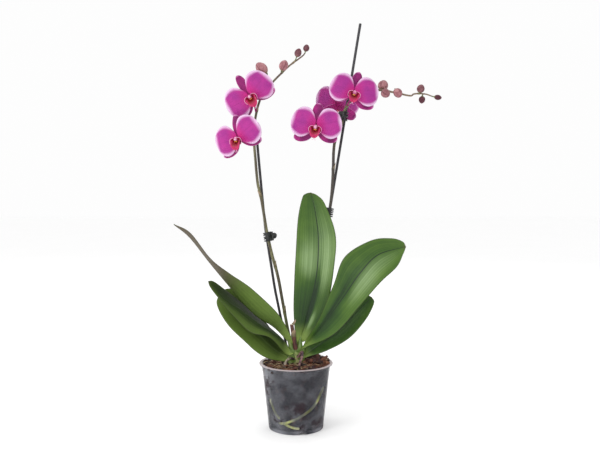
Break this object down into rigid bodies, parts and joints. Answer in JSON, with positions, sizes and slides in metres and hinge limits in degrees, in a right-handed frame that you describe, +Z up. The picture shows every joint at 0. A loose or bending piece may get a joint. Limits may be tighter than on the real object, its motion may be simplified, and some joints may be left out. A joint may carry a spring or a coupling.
{
  "type": "potted orchid",
  "caption": "Potted moth orchid with arching magenta flower sprays, broad leaves, support sticks and sprung clips, in a smoked translucent nursery pot.",
  "frame": {"origin": "where the pot's axis meets the surface it stands on, at the middle of the pot's base", "axes": "+Z up; -Y towards the front, the side the flowers face; +X to the right seen from the front"},
  "size_m": [0.4266, 0.1307, 0.6624],
  "materials": {
    "smoked_plastic": "thin smoked translucent plastic, scuffed and dusty",
    "bark": "damp red-brown bark chips",
    "leaf": "thick glossy green leaf with fine lengthwise veins",
    "crown": "fleshy yellow-green stem",
    "root": "grey-green fleshy root",
    "old_spike": "dry purple-brown stalk with a pale cut end",
    "spike": "olive-brown flower stalk",
    "stick": "near-black plastic",
    "bud": "dusty pink closed bud, plum when small",
    "petal": "velvety magenta petal with a pale edge",
    "lip": "waxy crimson with a yellow throat",
    "column": "waxy pale pink",
    "clip": "black moulded plastic",
    "steel": "bright spring steel"
  },
  "bodies": {
    "plant_in_pot": {"nursery_pot": "smoked_plastic", "bark_medium": "bark", "crown": "crown", "flower_spike_left": "spike", "flower_spike_right": "spike", "support_stick_left": "stick", "support_stick_right": "stick", "old_spike_stub": "old_spike", "wall_root_long": "root", "wall_root_short": "root", "aerial_root_left": "root", "aerial_root_right": "root", "leaf_upright": "leaf", "leaf_right_broad": "leaf", "leaf_right_low": "leaf", "leaf_left_long": "leaf", "leaf_left_mid": "leaf", "leaf_left_low": "leaf", "bud_left_1": "bud", "bud_left_2": "bud", "bud_left_3": "bud", "bud_left_4": "bud", "bud_right_1": "bud", "bud_right_2": "bud", "bud_right_3": "bud", "bud_right_4": "bud", "bud_right_5": "bud", "bud_right_6": "bud", "flower_left_upper_sepals": "petal", "flower_left_upper_petals": "petal", "flower_left_upper_lip": "lip", "flower_left_upper_column": "column", "flower_left_lower_sepals": "petal", "flower_left_lower_petals": "petal", "flower_left_lower_lip": "lip", "flower_left_lower_column": "column", "flower_right_lower_sepals": "petal", "flower_right_lower_petals": "petal", "flower_right_lower_lip": "lip", "flower_right_lower_column": "column", "flower_right_upper_sepals": "petal", "flower_right_upper_petals": "petal", "flower_right_upper_lip": "lip", "flower_right_upper_column": "column", "flower_right_rear_sepals": "petal", "flower_right_rear_petals": "petal", "flower_right_rear_lip": "lip", "flower_right_rear_column": "column", "clip_left_back_jaw": "clip", "clip_left_hinge_pin": "steel", "clip_left_spring": "steel", "clip_right_lower_back_jaw": "clip", "clip_right_lower_hinge_pin": "steel", "clip_right_lower_spring": "steel", "clip_right_upper_back_jaw": "clip", "clip_right_upper_hinge_pin": "steel", "clip_right_upper_spring": "steel"},
    "clip_left_jaw": {"clip_left_front_jaw": "clip"},
    "clip_right_lower_jaw": {"clip_right_lower_front_jaw": "clip"},
    "clip_right_upper_jaw": {"clip_right_upper_front_jaw": "clip"}
  },
  "joints": [
    {"name": "clip_left_hinge", "type": "hinge", "parent": "plant_in_pot", "child": "clip_left_jaw", "pos_m": [-0.03914, 0.02101, 0.31225], "axis": [-0.156, -0.0044, 0.9877], "range_deg": [0, 30], "stiffness_Nm_per_rad": 0.004, "springref_deg": -34.38},
    {"name": "clip_right_lower_hinge", "type": "hinge", "parent": "plant_in_pot", "child": "clip_right_lower_jaw", "pos_m": [0.04723, 0.02664, 0.35228], "axis": [-0.1604, -0.0214, -0.9868], "range_deg": [0, 30], "stiffness_Nm_per_rad": 0.004, "springref_deg": -34.38},
    {"name": "clip_right_upper_hinge", "type": "hinge", "parent": "plant_in_pot", "child": "clip_right_upper_jaw", "pos_m": [0.07126, 0.0303, 0.51028], "axis": [-0.1604, -0.0214, -0.9868], "range_deg": [0, 30], "stiffness_Nm_per_rad": 0.004, "springref_deg": -34.38}
  ]
}
